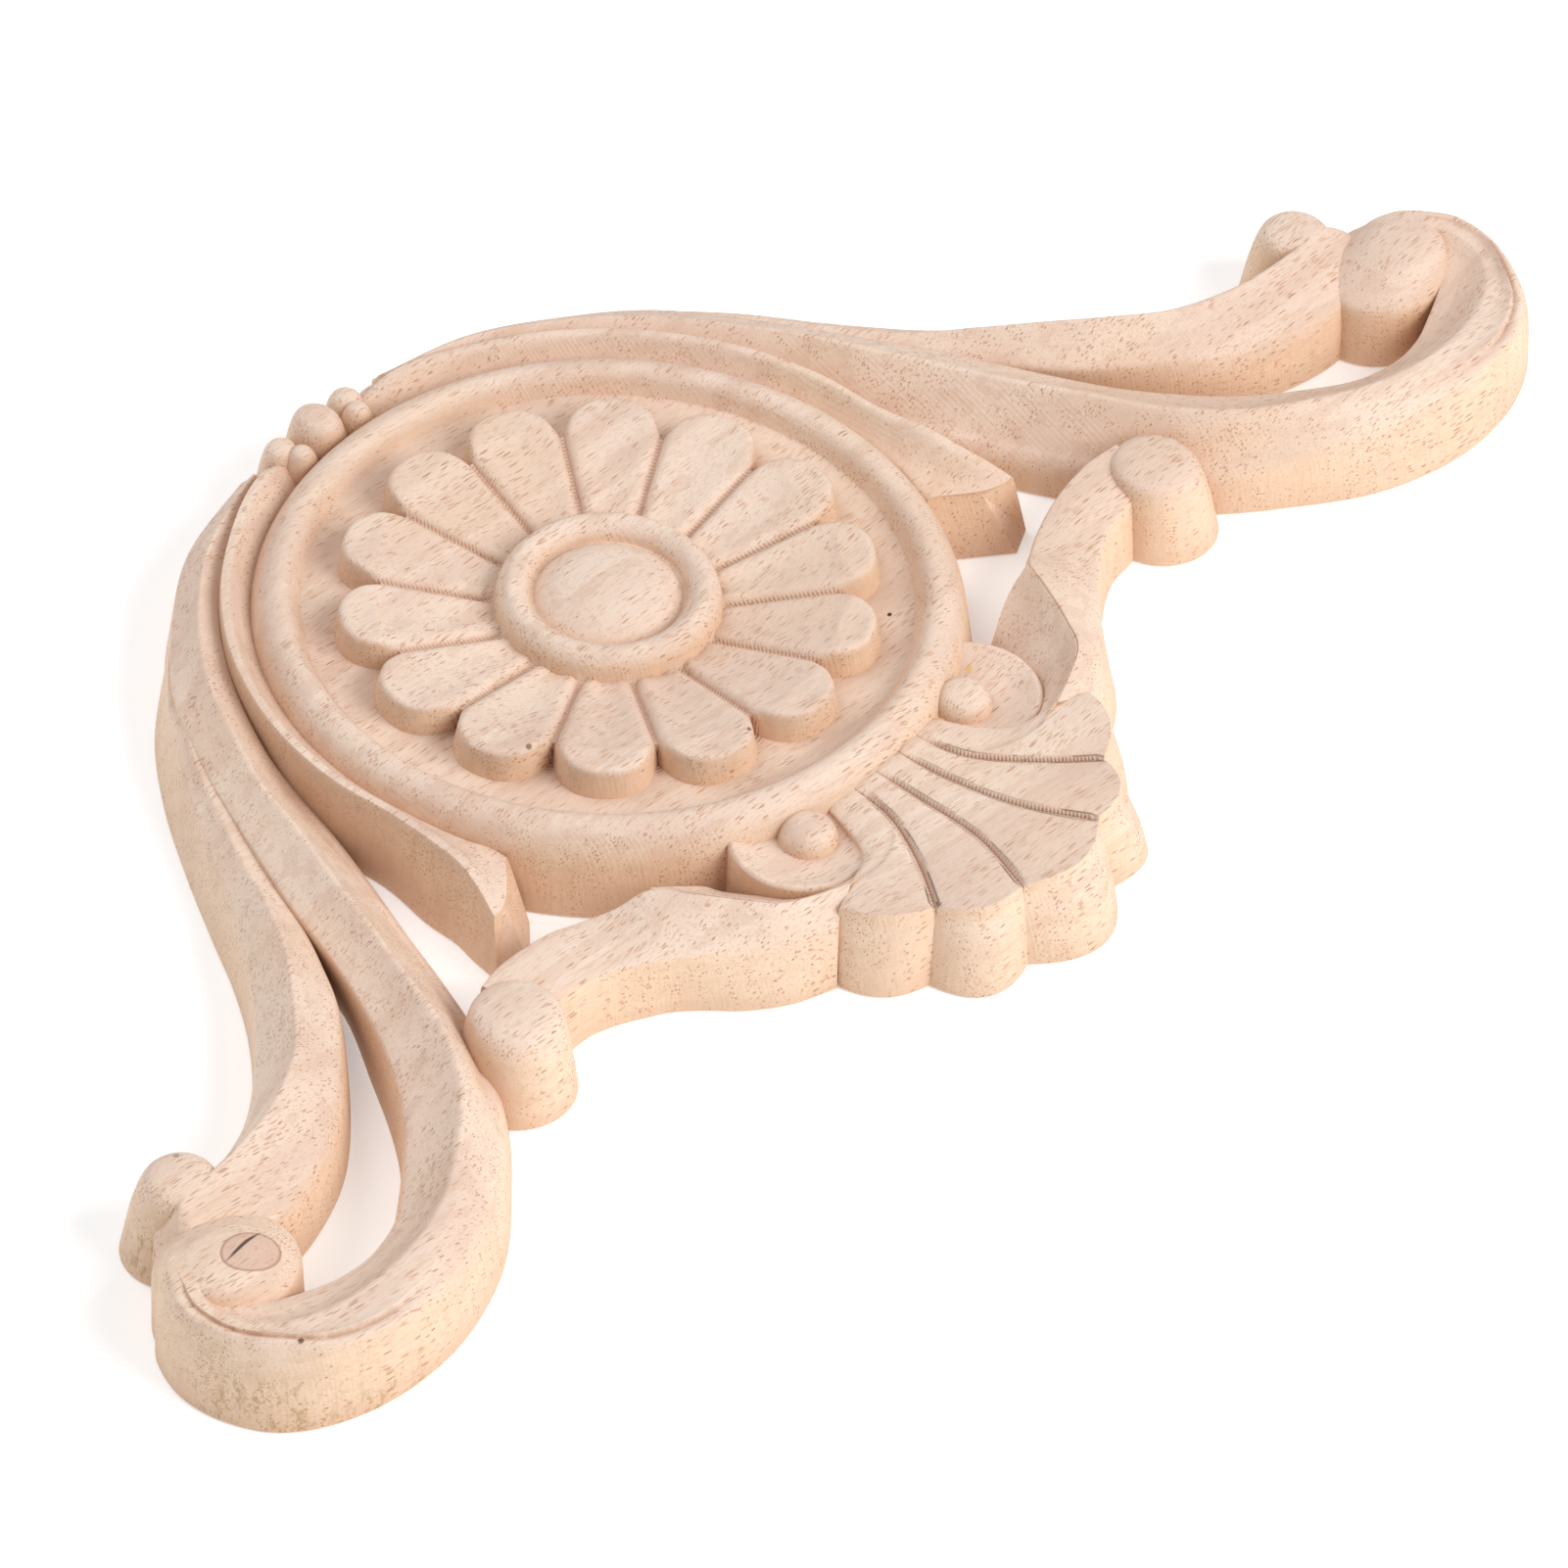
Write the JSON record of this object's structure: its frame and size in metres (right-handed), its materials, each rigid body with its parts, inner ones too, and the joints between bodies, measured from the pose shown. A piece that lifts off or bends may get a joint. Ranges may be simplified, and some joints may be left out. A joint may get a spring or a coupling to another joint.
{
  "type": "carved wood applique",
  "caption": "Flat-backed carved wood ornament with a petalled rosette, a shell below it and pierced scroll wings, for gluing on furniture, doors or frames.",
  "frame": {"origin": "centre of the rosette's ring, on the flat back", "axes": "+X towards one wing, along the length; +Y towards the small knob above the ring; +Z out of the carved front, away from the wall or panel that it is fixed to"},
  "size_m": [0.2976, 0.1534, 0.0158],
  "materials": {
    "wood": "bare, fine sanded"
  },
  "bodies": {
    "root": {"applique": "wood"}
  },
  "joints": []
}
